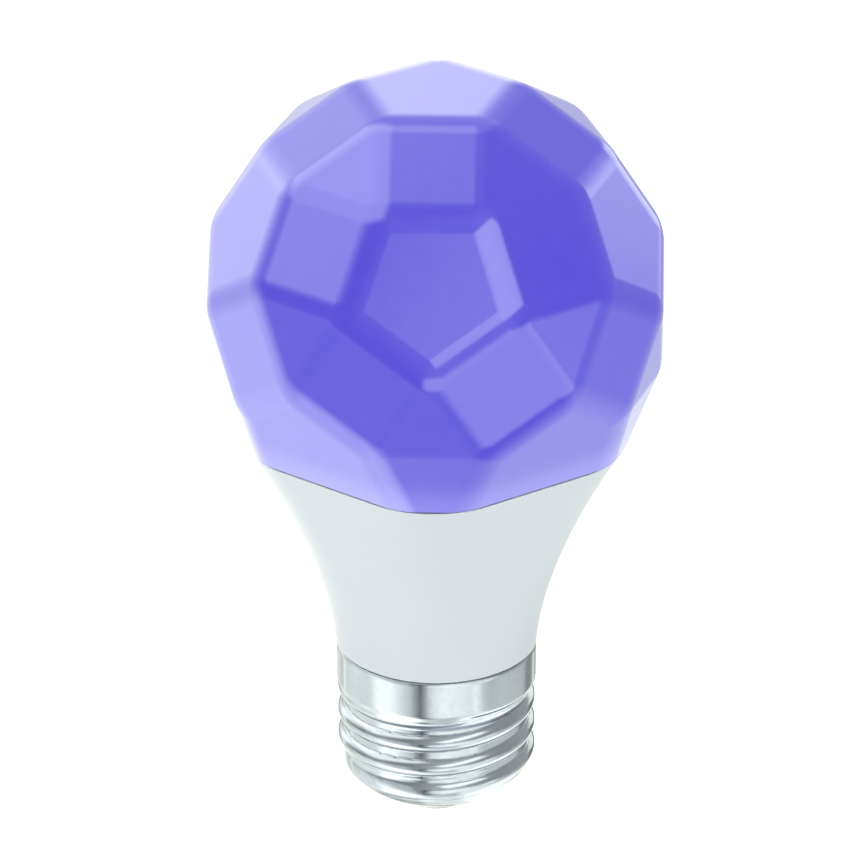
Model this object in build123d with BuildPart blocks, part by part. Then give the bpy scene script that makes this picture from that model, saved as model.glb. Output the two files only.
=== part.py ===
"""Smart light bulb: faceted colour-changing head, flared housing and a medium Edison screw cap.

Millimetres, +Z up, the front towards -Y. The origin is the lowest point of the
centre contact, on the bulb's axis, so the cap is at the bottom and the head at
the top.
"""

import os
from itertools import combinations
from math import cos, pi, radians, sin, sqrt

from build123d import *

os.makedirs("parts", exist_ok=True)

# ---------------------------------------------------------------- driving dimensions

# Screw cap: a medium Edison cap, 24 mm tall
CAP_HEIGHT = 24.0
COLLAR_RADIUS = 13.25
COLLAR_BOTTOM = 18.8
COLLAR_STEP = 0.6
THREAD_PITCH = 3.629
THREAD_MAJOR_RADIUS = 13.1
THREAD_ROOT_RADIUS = 12.2
THREAD_CREST_RADIUS = 1.25
THREAD_BOTTOM = 8.1
THREAD_TURNS = 2.7
SHELL_WALL = 0.3
SHELL_MOUTH_RADIUS = 8.8
SHELL_MOUTH_Z = 3.1
SHOULDER_TOP = 6.4
CONTACT_RADIUS = 4.7
CONTACT_HEIGHT = 1.4
CONTACT_STEM_RADIUS = 1.2
CONTACT_STEM_TOP = 6.2
INSULATOR_TOP = 5.6

# Faceted head: a rhombicosidodecahedron whose edges and corners are rolled by a ball.
# Its five lowest squares are tipped outwards, to run down into the corners of the seam.
HEAD_CENTRE_Z = 73.9
FACET_EDGE = 10.15
HEAD_ROUNDING = 7.9
LOWER_SQUARE_TILT = 31.717
CORNER_FACET_TILT = 18.7
CORE_FLOOR = -24.0
DIFFUSER_WALL = 1.5

# Seam between head and housing: a pentagon with round corners, one of them at the front
SEAM_Z = 55.2
SEAM_GAP = 0.2
SEAM_INRADIUS = 22.9
SEAM_CORNER_RADIUS = 12.7

# Housing: flares from the round cap to the five-sided seam
HOUSING_WALL = 1.4
FLARE_START_SLOPE = 0.1
FLARE_END_SLOPE = 0.5
CORNER_GROWTH = 1.5
SMALLEST_CORNER_OFFSET = 0.4
FLARE_LEVELS = 8
NECK_RADIUS = 11.5
NECK_BAND_RADIUS = 12.85
NECK_BORE = 10.3
NECK_BOTTOM = 9.0
LEDGE_Z = 26.0

# Rim of the diffuser that plugs into the housing
RIM_CLEARANCE = 0.15
RIM_WALL = 1.2
RIM_DEPTH = 2.3
RIM_FOOT_HEIGHT = 1.2
RIM_FOOT_INSET = 0.3

# Light engine, stacked on the top plate of the heat sink
HEAT_SINK_BOTTOM = 30.0
HEAT_SINK_WALL = 1.0
PLATE_BOTTOM = 49.0
PLATE_TOP = 50.5
PAD_THICKNESS = 0.3
LED_BOARD_THICKNESS = 1.0
LED_BOARD_RADIUS = 18.2
LED_BOARD_BOTTOM = PLATE_TOP + PAD_THICKNESS
LED_BOARD_TOP = LED_BOARD_BOTTOM + LED_BOARD_THICKNESS
WHITE_LED_COUNT = 10
WHITE_LED_CIRCLE = 14.7
WHITE_LED_SIZE = (3.5, 2.8, 0.7)
COLOUR_LED_COUNT = 6
COLOUR_LED_CIRCLE = 9.2
COLOUR_LED_SIZE = (3.5, 3.5, 0.9)
LENS_MARGIN = 0.35
LENS_DEPTH = 0.3
SCREW_COUNT = 3
SCREW_CIRCLE = 9.2
SCREW_START_ANGLE = 30
SCREW_RADIUS = 1.2
SCREW_TIP = 48.0
SCREW_HEAD_RADIUS = 2.1
SCREW_HEAD_HEIGHT = 1.2
SCREW_RECESS_WIDTH = 0.6
SCREW_RECESS_LENGTH = 2.4

# Driver: one upright board near the axis, inside an insulating sleeve
SLEEVE_RADIUS = 11.1
SLEEVE_WALL = 0.8
SLEEVE_TOP = 47.6
BOARD_FRONT = 1.0
BOARD_THICKNESS = 1.6
BOARD_BACK = BOARD_FRONT + BOARD_THICKNESS
BOARD_MIDDLE = BOARD_FRONT + BOARD_THICKNESS / 2
BOARD_WIDTH = 19.0
BOARD_BOTTOM = 10.5
BOARD_TOP = 47.2

# Radio: a small upright board that lifts its antenna above the metal plate
RADIO_WIDTH = 11.0
RADIO_THICKNESS = 1.0
RADIO_FRONT = BOARD_FRONT - RADIO_THICKNESS
RADIO_BOTTOM = 40.6
RADIO_TOP = 58.5
SHIELD_WIDTH = 9.6
SHIELD_DEPTH = 2.2
SHIELD_BOTTOM = 41.2
SHIELD_HEIGHT = 7.0
SHIELD_WALL = 0.2
ANTENNA_BOTTOM = 52.6
ANTENNA_TRACK = 0.5
ANTENNA_THICKNESS = 0.07
ANTENNA_BARS = 5
ANTENNA_PITCH = 1.2
ANTENNA_WIDTH = 8.6

# Connector between the driver board and the LED board
PIN_COUNT = 5
PIN_PITCH = 2.0
PIN_SIDE = 0.64
PIN_Y = 3.9
PIN_BOTTOM = 41.8
PIN_TOP = 53.6
SOCKET_SIZE = (10.8, 2.4, 2.3)
HEADER_BOTTOM = 42.5

# Openings through the plate, the pad and the LED board
OPENING_MARGIN = 0.4

# Driver components: (width, depth, height), bottom height and sideways place
COMPONENT_CHAMFER = 0.2
CAN_GROOVE = 0.4
INPUT_CAN_RADIUS = 4.0
INPUT_CAN_HEIGHT = 12.0
INPUT_CAN_BOTTOM = 15.5
INPUT_CAN_X = -4.6
OUTPUT_CAN_RADIUS = 3.15
OUTPUT_CAN_HEIGHT = 10.0
OUTPUT_CAN_BOTTOM = 28.0
OUTPUT_CAN_X = -3.4
RESISTOR_RADIUS = 1.7
RESISTOR_LENGTH = 9.0
RESISTOR_Z = 12.9
VARISTOR_RADIUS = 4.0
VARISTOR_DEPTH = 3.4
VARISTOR_X = 4.9
VARISTOR_Z = 21.0
INDUCTOR_Z = 16.5
INDUCTOR_RADIUS = 4.0
INDUCTOR_DEPTH = 5.4
INDUCTOR_CORE_RADIUS = 1.6
INDUCTOR_FLANGE = 0.9
BRIDGE_SIZE = (6.2, 2.4, 4.8)
BRIDGE_BOTTOM = 22.0
CHIP_SIZE = (3.9, 1.5, 4.9)
CHIP_BOTTOM = 28.5
CHIP_X = 5.4
DIODE_SIZE = (4.6, 2.2, 2.7)
DIODE_BOTTOM = 37.5
DIODE_X = 4.0
TRANSFORMER_BOTTOM = 28.8
TRANSFORMER_HEIGHT = 10.6
TRANSFORMER_WIDTH = 13.0
TRANSFORMER_CORE_DEPTH = 5.0
TRANSFORMER_LEG_WIDTH = 3.6
TRANSFORMER_FRAME = 1.9
WINDING_DEPTH = 7.8
WINDING_CLEARANCE = 0.2
RADIO_CHIP_SIZE = (5.0, 0.9, 5.0)
RADIO_CHIP_BOTTOM = 42.2

# Leads from the driver board to the cap
LEAD_RADIUS = 0.45
LEAD_BEND = 0.9

# ---------------------------------------------------------------- shared geometry

SIDE_TURN = 360 / 5
HALF_TURN = SIDE_TURN / 2
FRONT_ANGLE = -90
CORNER_OFFSET = (SEAM_INRADIUS - SEAM_CORNER_RADIUS) / cos(radians(HALF_TURN))


def facet_distance(side_count):
    """How far the facets of that many sides lie from the centre, before the rounding."""
    corner_distance = sqrt(11 + 4 * sqrt(5)) / 2
    facet_corner_distance = 0.5 / sin(pi / side_count)
    return FACET_EDGE * sqrt(corner_distance**2 - facet_corner_distance**2)


def corner_facet_planes():
    """The five lowest squares, tipped about their top edges to reach the corners of the seam."""
    square_tilt = radians(LOWER_SQUARE_TILT)
    distance = facet_distance(4)
    edge_radius = distance * cos(square_tilt) + FACET_EDGE / 2 * sin(square_tilt)
    edge_height = FACET_EDGE / 2 * cos(square_tilt) - distance * sin(square_tilt)
    planes = []
    for step in range(5):
        top_edge = Vector(0, -edge_radius, edge_height).rotate(Axis.Z, step * SIDE_TURN)
        outward = Vector(0, -1, 0).rotate(Axis.X, CORNER_FACET_TILT).rotate(Axis.Z, step * SIDE_TURN)
        planes.append(Plane(origin=top_edge, z_dir=outward))
    return planes


def facet_planes():
    """Planes of all facets above the seam, before the rounding, with the head's centre at 0."""
    tilt = Vector(1, 0, 0).get_angle(Vector(2, 0, 1))
    upper = [Vector(0, -1, 0).rotate(Axis.X, -tilt).rotate(Axis.Z, step * SIDE_TURN) for step in range(5)]
    pentagons = [Vector(0, 0, 1)] + upper + [direction * -1 for direction in upper]
    planes = corner_facet_planes()
    for group_size, side_count in ((1, 5), (2, 4), (3, 3)):
        for group in combinations(pentagons, group_size):
            if any(one.dot(other) < 0.4 for one, other in combinations(group, 2)):
                continue
            outward = sum(group, Vector()).normalized()
            is_lower_square = side_count == 4 and outward.Z < -0.1
            if not is_lower_square:
                planes.append(Plane(origin=outward * facet_distance(side_count), z_dir=outward))
    return planes


def rounded_head(rounding):
    """The faceted head above the seam, rolled by a ball of the given radius."""
    with BuildPart() as head:
        Sphere(3 * FACET_EDGE)
        for plane in facet_planes():
            split(bisect_by=plane, keep=Keep.BOTTOM)
        split(bisect_by=Plane.XY.offset(CORE_FLOOR), keep=Keep.TOP)
        offset(amount=rounding, kind=Kind.ARC)
        split(bisect_by=Plane.XY.offset(SEAM_Z + SEAM_GAP / 2 - HEAD_CENTRE_Z), keep=Keep.TOP)
    return Pos(0, 0, HEAD_CENTRE_Z) * head.part


def five_sided_section(height, inradius, corner_radius):
    """A level pentagon with round corners, one of them facing the front."""
    with BuildSketch(Plane.XY.offset(height)) as section:
        RegularPolygon(inradius, side_count=5, major_radius=False, rotation=FRONT_ANGLE)
        fillet(section.vertices(), radius=corner_radius)
    return section.sketch


def flare_inradius(height):
    """Distance from the axis to the flat sides of the housing: a cubic between the two slopes."""
    rise = SEAM_Z - CAP_HEIGHT
    along = (height - CAP_HEIGHT) / rise
    start = COLLAR_RADIUS * (1 - along) ** 2 * (1 + 2 * along)
    start_slope = FLARE_START_SLOPE * rise * along * (1 - along) ** 2
    end = SEAM_INRADIUS * along**2 * (3 - 2 * along)
    end_slope = FLARE_END_SLOPE * rise * along**2 * (along - 1)
    return start + start_slope + end + end_slope


def flare_section(height, inset):
    """Cross-section of the housing, moved in by the inset; nearly round at the cap."""
    along = (height - CAP_HEIGHT) / (SEAM_Z - CAP_HEIGHT)
    corner_offset = max(CORNER_OFFSET * along**CORNER_GROWTH, SMALLEST_CORNER_OFFSET)
    inradius = flare_inradius(height)
    corner_radius = inradius - corner_offset * cos(radians(HALF_TURN))
    return five_sided_section(height, inradius - inset, corner_radius - inset)


def flare_levels(bottom, top):
    """Evenly spaced heights between the bottom and the top of a flared loft."""
    step = (top - bottom) / FLARE_LEVELS
    return [bottom + step * level for level in range(FLARE_LEVELS + 1)]


def radio_slot(height):
    """Outline of the slot that the radio board stands in, on a level plane."""
    with BuildSketch(Plane.XY.offset(height)) as slot:
        with Locations((0, RADIO_FRONT + RADIO_THICKNESS / 2)):
            Rectangle(RADIO_WIDTH + 2 * OPENING_MARGIN, RADIO_THICKNESS + 2 * OPENING_MARGIN)
    return slot.sketch


def pin_slot(height):
    """Outline of the slot that the connector pins pass through, on a level plane."""
    pin_row = (PIN_COUNT - 1) * PIN_PITCH + PIN_SIDE
    with BuildSketch(Plane.XY.offset(height)) as slot:
        with Locations((0, PIN_Y)):
            Rectangle(pin_row + 2 * OPENING_MARGIN, PIN_SIDE + 2 * OPENING_MARGIN)
    return slot.sketch


def screw_holes(height):
    """Outline of the holes for the screws that hold the LED board down."""
    with BuildSketch(Plane.XY.offset(height)) as holes:
        with PolarLocations(SCREW_CIRCLE, SCREW_COUNT, SCREW_START_ANGLE):
            Circle(SCREW_RADIUS)
    return holes.sketch


def led_packages(circle, count, start_angle, size):
    """A ring of surface-mounted LED packages, each with a recess in its top for its lens."""
    length, width, height = size
    with BuildPart() as packages:
        with BuildSketch(Plane.XY.offset(LED_BOARD_TOP)):
            with PolarLocations(circle, count, start_angle):
                Rectangle(length, width)
        extrude(amount=height)
        with BuildSketch(Plane.XY.offset(LED_BOARD_TOP + height)):
            with PolarLocations(circle, count, start_angle):
                Rectangle(length - 2 * LENS_MARGIN, width - 2 * LENS_MARGIN)
        extrude(amount=-LENS_DEPTH, mode=Mode.SUBTRACT)
    return packages.part


def led_lenses(circle, count, start_angle, size):
    """The filling of each package's recess."""
    length, width, height = size
    with BuildPart() as lenses:
        with BuildSketch(Plane.XY.offset(LED_BOARD_TOP + height - LENS_DEPTH)):
            with PolarLocations(circle, count, start_angle):
                Rectangle(length - 2 * LENS_MARGIN, width - 2 * LENS_MARGIN)
        extrude(amount=LENS_DEPTH)
    return lenses.part


def block_on_board(width, depth, bottom, height, x, face_y, outward):
    """A rectangular component standing on one face of the driver board."""
    with BuildPart() as block:
        with BuildSketch(Plane.XY.offset(bottom)):
            with Locations((x, face_y + outward * depth / 2)):
                Rectangle(width, depth)
        extrude(amount=height)
        chamfer(block.edges().filter_by(Axis.Z), length=COMPONENT_CHAMFER)
    return block.part


def can_capacitor(radius, bottom, height, x, y):
    """An upright electrolytic capacitor with a rolled groove near its foot."""
    groove_height = bottom + 1.6
    with BuildPart() as can:
        with BuildSketch(Plane.XZ):
            with BuildLine():
                Polyline(
                    (0, bottom),
                    (radius, bottom),
                    (radius, groove_height - CAN_GROOVE),
                    (radius - CAN_GROOVE, groove_height),
                    (radius, groove_height + CAN_GROOVE),
                    (radius, bottom + height),
                    (0, bottom + height),
                    close=True,
                )
            make_face()
        revolve(axis=Axis.Z)
        fillet(can.edges().group_by(Axis.Z)[-1], radius=CAN_GROOVE)
    return Pos(x, y, 0) * can.part


def finish(piece, name):
    """Label the piece and write it as its own STEP file."""
    piece.label = name
    export_step(piece, f"parts/{name}.step")
    return piece


# ---------------------------------------------------------------- diffuser

head_bottom = SEAM_Z + SEAM_GAP / 2
outer_head = rounded_head(HEAD_ROUNDING)
inner_head = rounded_head(HEAD_ROUNDING - DIFFUSER_WALL)

# The rim: a flat foot inside the wall, and a tapered spigot that drops into the housing.
spigot_outset = HOUSING_WALL + RIM_CLEARANCE
spigot_inset = spigot_outset + RIM_WALL
spigot_bottom = head_bottom - RIM_DEPTH
foot_outer = flare_section(head_bottom, RIM_FOOT_INSET)
foot_inner = flare_section(head_bottom, spigot_inset)
spigot_outer = [flare_section(spigot_bottom, spigot_outset), flare_section(head_bottom, spigot_outset)]
spigot_inner = [flare_section(spigot_bottom, spigot_inset), flare_section(head_bottom, spigot_inset)]

with BuildPart() as spigot_hollow:
    loft(spigot_inner, ruled=True)

with BuildPart() as rim:
    extrude(foot_outer, amount=RIM_FOOT_HEIGHT)
    extrude(foot_inner, amount=RIM_FOOT_HEIGHT, mode=Mode.SUBTRACT)
    loft(spigot_outer, ruled=True)
    add(spigot_hollow.part, mode=Mode.SUBTRACT)

with BuildPart() as diffuser:
    add(outer_head)
    add(inner_head, mode=Mode.SUBTRACT)
    add(rim.part)

finish(diffuser.part, "diffuser")

# ---------------------------------------------------------------- diffuser adhesive

bead_bottom = SEAM_Z - SEAM_GAP / 2
bead_outer = flare_section(bead_bottom, RIM_FOOT_INSET)
bead_inner = flare_section(bead_bottom, HOUSING_WALL)

with BuildPart() as diffuser_adhesive:
    extrude(bead_outer, amount=SEAM_GAP)
    extrude(bead_inner, amount=SEAM_GAP, mode=Mode.SUBTRACT)

finish(diffuser_adhesive.part, "diffuser_adhesive")

# ---------------------------------------------------------------- housing

flare_outside = [flare_section(level, 0) for level in flare_levels(CAP_HEIGHT, bead_bottom)]
flare_inside = [flare_section(level, HOUSING_WALL) for level in flare_levels(LEDGE_Z, SEAM_Z)]

with BuildPart() as flare_hollow:
    loft(flare_inside)

with BuildPart() as housing:
    loft(flare_outside)
    add(flare_hollow.part, mode=Mode.SUBTRACT)
    with BuildSketch(Plane.XY.offset(NECK_BOTTOM)):
        Circle(NECK_RADIUS)
    extrude(amount=CAP_HEIGHT - NECK_BOTTOM)
    with BuildSketch(Plane.XY.offset(COLLAR_BOTTOM + COLLAR_STEP)):
        Circle(NECK_BAND_RADIUS)
    extrude(amount=CAP_HEIGHT - COLLAR_BOTTOM - COLLAR_STEP)
    with BuildSketch(Plane.XY.offset(NECK_BOTTOM)):
        Circle(NECK_BORE)
    extrude(amount=LEDGE_Z - NECK_BOTTOM, mode=Mode.SUBTRACT)

finish(housing.part, "housing")

# ---------------------------------------------------------------- heat sink

heat_sink_inset = HOUSING_WALL + RIM_CLEARANCE
cup_levels = flare_levels(HEAT_SINK_BOTTOM, PLATE_TOP)
cup_outside = [(flare_inradius(level) - heat_sink_inset, level) for level in cup_levels]
inside_levels = flare_levels(HEAT_SINK_BOTTOM, PLATE_BOTTOM)
cup_inside = [
    (flare_inradius(level) - heat_sink_inset - HEAT_SINK_WALL, level) for level in inside_levels
]

with BuildPart() as heat_sink_cup:
    with BuildSketch(Plane.XZ):
        with BuildLine():
            outside = Spline(*cup_outside)
            inside = Spline(*cup_inside)
            Line(inside @ 0, outside @ 0)
            Polyline(inside @ 1, (0, PLATE_BOTTOM), (0, PLATE_TOP), outside @ 1)
        make_face()
    revolve(axis=Axis.Z)
    extrude(radio_slot(PLATE_BOTTOM), amount=PLATE_TOP - PLATE_BOTTOM, mode=Mode.SUBTRACT)
    extrude(pin_slot(PLATE_BOTTOM), amount=PLATE_TOP - PLATE_BOTTOM, mode=Mode.SUBTRACT)
    extrude(screw_holes(PLATE_BOTTOM), amount=PLATE_TOP - PLATE_BOTTOM, mode=Mode.SUBTRACT)

finish(heat_sink_cup.part, "heat_sink_cup")

# ---------------------------------------------------------------- driver sleeve

with BuildPart() as driver_sleeve:
    with BuildSketch(Plane.XY.offset(LEDGE_Z)):
        Circle(SLEEVE_RADIUS)
        Circle(SLEEVE_RADIUS - SLEEVE_WALL, mode=Mode.SUBTRACT)
    extrude(amount=SLEEVE_TOP - LEDGE_Z)

finish(driver_sleeve.part, "driver_sleeve")

# ---------------------------------------------------------------- thermal pad and LED board

with BuildPart() as thermal_pad:
    with BuildSketch(Plane.XY.offset(PLATE_TOP)):
        Circle(LED_BOARD_RADIUS)
    extrude(amount=PAD_THICKNESS)
    extrude(radio_slot(PLATE_TOP), amount=PAD_THICKNESS, mode=Mode.SUBTRACT)
    extrude(pin_slot(PLATE_TOP), amount=PAD_THICKNESS, mode=Mode.SUBTRACT)
    extrude(screw_holes(PLATE_TOP), amount=PAD_THICKNESS, mode=Mode.SUBTRACT)

finish(thermal_pad.part, "thermal_pad")

with BuildPart() as led_board:
    with BuildSketch(Plane.XY.offset(LED_BOARD_BOTTOM)):
        Circle(LED_BOARD_RADIUS)
    extrude(amount=LED_BOARD_THICKNESS)
    extrude(radio_slot(LED_BOARD_BOTTOM), amount=LED_BOARD_THICKNESS, mode=Mode.SUBTRACT)
    extrude(pin_slot(LED_BOARD_BOTTOM), amount=LED_BOARD_THICKNESS, mode=Mode.SUBTRACT)
    extrude(screw_holes(LED_BOARD_BOTTOM), amount=LED_BOARD_THICKNESS, mode=Mode.SUBTRACT)

finish(led_board.part, "led_board")

# ---------------------------------------------------------------- LEDs

cool_start = 360 / WHITE_LED_COUNT / 2
warm_ring = (WHITE_LED_CIRCLE, WHITE_LED_COUNT, 0, WHITE_LED_SIZE)
cool_ring = (WHITE_LED_CIRCLE, WHITE_LED_COUNT, cool_start, WHITE_LED_SIZE)
colour_ring = (COLOUR_LED_CIRCLE, COLOUR_LED_COUNT, 0, COLOUR_LED_SIZE)

finish(led_packages(*warm_ring), "warm_white_leds")
finish(led_lenses(*warm_ring), "warm_white_lenses")
finish(led_packages(*cool_ring), "cool_white_leds")
finish(led_lenses(*cool_ring), "cool_white_lenses")
finish(led_packages(*colour_ring), "colour_leds")
finish(led_lenses(*colour_ring), "colour_lenses")

# ---------------------------------------------------------------- LED board screws

with BuildPart() as led_board_screws:
    with BuildSketch(Plane.XY.offset(SCREW_TIP)):
        with PolarLocations(SCREW_CIRCLE, SCREW_COUNT, SCREW_START_ANGLE):
            Circle(SCREW_RADIUS)
    extrude(amount=LED_BOARD_TOP - SCREW_TIP)
    with BuildSketch(Plane.XY.offset(LED_BOARD_TOP)):
        with PolarLocations(SCREW_CIRCLE, SCREW_COUNT, SCREW_START_ANGLE):
            Circle(SCREW_HEAD_RADIUS)
    extrude(amount=SCREW_HEAD_HEIGHT)
    fillet(led_board_screws.edges().group_by(Axis.Z)[-1], radius=SCREW_HEAD_HEIGHT / 3)
    with BuildSketch(Plane.XY.offset(LED_BOARD_TOP + SCREW_HEAD_HEIGHT)):
        with PolarLocations(SCREW_CIRCLE, SCREW_COUNT, SCREW_START_ANGLE):
            Rectangle(SCREW_RECESS_LENGTH, SCREW_RECESS_WIDTH)
            Rectangle(SCREW_RECESS_WIDTH, SCREW_RECESS_LENGTH)
    extrude(amount=-SCREW_HEAD_HEIGHT / 2, mode=Mode.SUBTRACT)

finish(led_board_screws.part, "led_board_screws")

# ---------------------------------------------------------------- connector

pin_row = GridLocations(PIN_PITCH, 0, PIN_COUNT, 1)
pin_places = [(place.position.X, PIN_Y) for place in pin_row]

with BuildPart() as board_socket:
    with BuildSketch(Plane.XY.offset(LED_BOARD_TOP)):
        with Locations((0, PIN_Y)):
            Rectangle(SOCKET_SIZE[0], SOCKET_SIZE[1])
        with Locations(*pin_places):
            Rectangle(PIN_SIDE, PIN_SIDE, mode=Mode.SUBTRACT)
    extrude(amount=SOCKET_SIZE[2])

finish(board_socket.part, "board_socket")

with BuildPart() as header_base:
    with BuildSketch(Plane.XY.offset(HEADER_BOTTOM)):
        with Locations((0, BOARD_BACK + SOCKET_SIZE[1] / 2)):
            Rectangle(SOCKET_SIZE[0], SOCKET_SIZE[1])
        with Locations(*pin_places):
            Rectangle(PIN_SIDE, PIN_SIDE, mode=Mode.SUBTRACT)
    extrude(amount=SOCKET_SIZE[2])

finish(header_base.part, "header_base")

with BuildPart() as header_pins:
    with BuildSketch(Plane.XY.offset(PIN_BOTTOM)):
        with Locations(*pin_places):
            Rectangle(PIN_SIDE, PIN_SIDE)
    extrude(amount=PIN_TOP - PIN_BOTTOM)

finish(header_pins.part, "header_pins")

# ---------------------------------------------------------------- driver board and its parts

with BuildPart() as driver_board:
    with BuildSketch(Plane.XY.offset(BOARD_BOTTOM)):
        with Locations((0, BOARD_MIDDLE)):
            Rectangle(BOARD_WIDTH, BOARD_THICKNESS)
    extrude(amount=BOARD_TOP - BOARD_BOTTOM)
    chamfer(driver_board.edges().filter_by(Axis.Y), length=1)

finish(driver_board.part, "driver_board")

input_can_y = BOARD_FRONT - INPUT_CAN_RADIUS
output_can_y = BOARD_BACK + OUTPUT_CAN_RADIUS
input_can = can_capacitor(
    INPUT_CAN_RADIUS, INPUT_CAN_BOTTOM, INPUT_CAN_HEIGHT, INPUT_CAN_X, input_can_y
)
output_can = can_capacitor(
    OUTPUT_CAN_RADIUS, OUTPUT_CAN_BOTTOM, OUTPUT_CAN_HEIGHT, OUTPUT_CAN_X, output_can_y
)
finish(input_can, "input_capacitor")
finish(output_can, "output_capacitor")

with BuildPart() as fusible_resistor:
    with BuildSketch(Plane.YZ.offset(-RESISTOR_LENGTH / 2)):
        with Locations((BOARD_FRONT - RESISTOR_RADIUS, RESISTOR_Z)):
            Circle(RESISTOR_RADIUS)
    extrude(amount=RESISTOR_LENGTH)
    fillet(fusible_resistor.edges().filter_by(GeomType.CIRCLE), radius=0.6)

finish(fusible_resistor.part, "fusible_resistor")

with BuildPart() as varistor:
    with BuildSketch(Plane.XZ.offset(-BOARD_FRONT)):
        with Locations((VARISTOR_X, VARISTOR_Z)):
            Circle(VARISTOR_RADIUS)
    extrude(amount=VARISTOR_DEPTH)
    fillet(varistor.faces().sort_by(Axis.Y)[0].edges(), radius=0.8)

finish(varistor.part, "varistor")

with BuildPart() as filter_inductor_core:
    with BuildSketch(Plane.XZ.offset(-BOARD_BACK)):
        with Locations((0, INDUCTOR_Z)):
            Circle(INDUCTOR_RADIUS)
    extrude(amount=-INDUCTOR_FLANGE)
    with BuildSketch(Plane.XZ.offset(-BOARD_BACK - INDUCTOR_DEPTH + INDUCTOR_FLANGE)):
        with Locations((0, INDUCTOR_Z)):
            Circle(INDUCTOR_RADIUS)
    extrude(amount=-INDUCTOR_FLANGE)
    with BuildSketch(Plane.XZ.offset(-BOARD_BACK)):
        with Locations((0, INDUCTOR_Z)):
            Circle(INDUCTOR_CORE_RADIUS)
    extrude(amount=-INDUCTOR_DEPTH)

finish(filter_inductor_core.part, "filter_inductor_core")

with BuildPart() as filter_inductor_winding:
    with BuildSketch(Plane.XZ.offset(-BOARD_BACK - INDUCTOR_FLANGE)):
        with Locations((0, INDUCTOR_Z)):
            Circle(INDUCTOR_RADIUS - INDUCTOR_FLANGE / 2)
            Circle(INDUCTOR_CORE_RADIUS, mode=Mode.SUBTRACT)
    extrude(amount=2 * INDUCTOR_FLANGE - INDUCTOR_DEPTH)

finish(filter_inductor_winding.part, "filter_inductor_winding")

bridge = block_on_board(
    BRIDGE_SIZE[0], BRIDGE_SIZE[1], BRIDGE_BOTTOM, BRIDGE_SIZE[2], 0, BOARD_BACK, 1
)
chip = block_on_board(CHIP_SIZE[0], CHIP_SIZE[1], CHIP_BOTTOM, CHIP_SIZE[2], CHIP_X, BOARD_BACK, 1)
diode = block_on_board(
    DIODE_SIZE[0], DIODE_SIZE[1], DIODE_BOTTOM, DIODE_SIZE[2], DIODE_X, BOARD_BACK, 1
)
finish(bridge, "bridge_rectifier")
finish(chip, "driver_chip")
finish(diode, "output_diode")

# ---------------------------------------------------------------- transformer

window_width = (TRANSFORMER_WIDTH - TRANSFORMER_LEG_WIDTH) / 2 - TRANSFORMER_FRAME
window_height = TRANSFORMER_HEIGHT - 2 * TRANSFORMER_FRAME
window_x = (TRANSFORMER_LEG_WIDTH + window_width) / 2
winding_y = BOARD_FRONT - WINDING_DEPTH / 2
transformer_z = TRANSFORMER_BOTTOM + TRANSFORMER_HEIGHT / 2
winding_width = TRANSFORMER_LEG_WIDTH + 2 * window_width - 2 * WINDING_CLEARANCE

with BuildPart() as transformer_core:
    with BuildSketch(Plane.XZ.offset(-winding_y - TRANSFORMER_CORE_DEPTH / 2)):
        with Locations((0, transformer_z)):
            Rectangle(TRANSFORMER_WIDTH, TRANSFORMER_HEIGHT)
        with Locations((window_x, transformer_z), (-window_x, transformer_z)):
            Rectangle(window_width, window_height, mode=Mode.SUBTRACT)
    extrude(amount=TRANSFORMER_CORE_DEPTH)

finish(transformer_core.part, "transformer_core")

with BuildPart() as transformer_winding:
    with BuildSketch(Plane.XY.offset(TRANSFORMER_BOTTOM + TRANSFORMER_FRAME)):
        with Locations((0, winding_y)):
            RectangleRounded(winding_width, WINDING_DEPTH, radius=1)
            Rectangle(TRANSFORMER_LEG_WIDTH, TRANSFORMER_CORE_DEPTH, mode=Mode.SUBTRACT)
    extrude(amount=window_height)

finish(transformer_winding.part, "transformer_winding")

# ---------------------------------------------------------------- radio

with BuildPart() as radio_board:
    with BuildSketch(Plane.XY.offset(RADIO_BOTTOM)):
        with Locations((0, RADIO_FRONT + RADIO_THICKNESS / 2)):
            Rectangle(RADIO_WIDTH, RADIO_THICKNESS)
    extrude(amount=RADIO_TOP - RADIO_BOTTOM)

finish(radio_board.part, "radio_board")

shield_middle = SHIELD_BOTTOM + SHIELD_HEIGHT / 2

with BuildPart() as radio_shield:
    with BuildSketch(Plane.XZ.offset(-RADIO_FRONT)):
        with Locations((0, shield_middle)):
            Rectangle(SHIELD_WIDTH, SHIELD_HEIGHT)
    extrude(amount=SHIELD_DEPTH)
    with BuildSketch(Plane.XZ.offset(-RADIO_FRONT)):
        with Locations((0, shield_middle)):
            Rectangle(SHIELD_WIDTH - 2 * SHIELD_WALL, SHIELD_HEIGHT - 2 * SHIELD_WALL)
    extrude(amount=SHIELD_DEPTH - SHIELD_WALL, mode=Mode.SUBTRACT)

finish(radio_shield.part, "radio_shield")

radio_chip = block_on_board(
    RADIO_CHIP_SIZE[0], RADIO_CHIP_SIZE[1], RADIO_CHIP_BOTTOM, RADIO_CHIP_SIZE[2], 0, RADIO_FRONT, -1
)
finish(radio_chip, "radio_chip")

# The antenna is a printed track that zigzags up the free end of the radio board.
side_x = (ANTENNA_WIDTH - ANTENNA_TRACK) / 2

with BuildPart() as antenna_trace:
    with BuildSketch(Plane.XZ.offset(-RADIO_FRONT)):
        for bar in range(ANTENNA_BARS):
            bar_z = ANTENNA_BOTTOM + ANTENNA_PITCH * bar
            with Locations((0, bar_z)):
                Rectangle(ANTENNA_WIDTH, ANTENNA_TRACK)
            if bar:
                link_side = 1 if bar % 2 else -1
                with Locations((link_side * side_x, bar_z - ANTENNA_PITCH / 2)):
                    Rectangle(ANTENNA_TRACK, ANTENNA_PITCH)
    extrude(amount=ANTENNA_THICKNESS)

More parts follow.
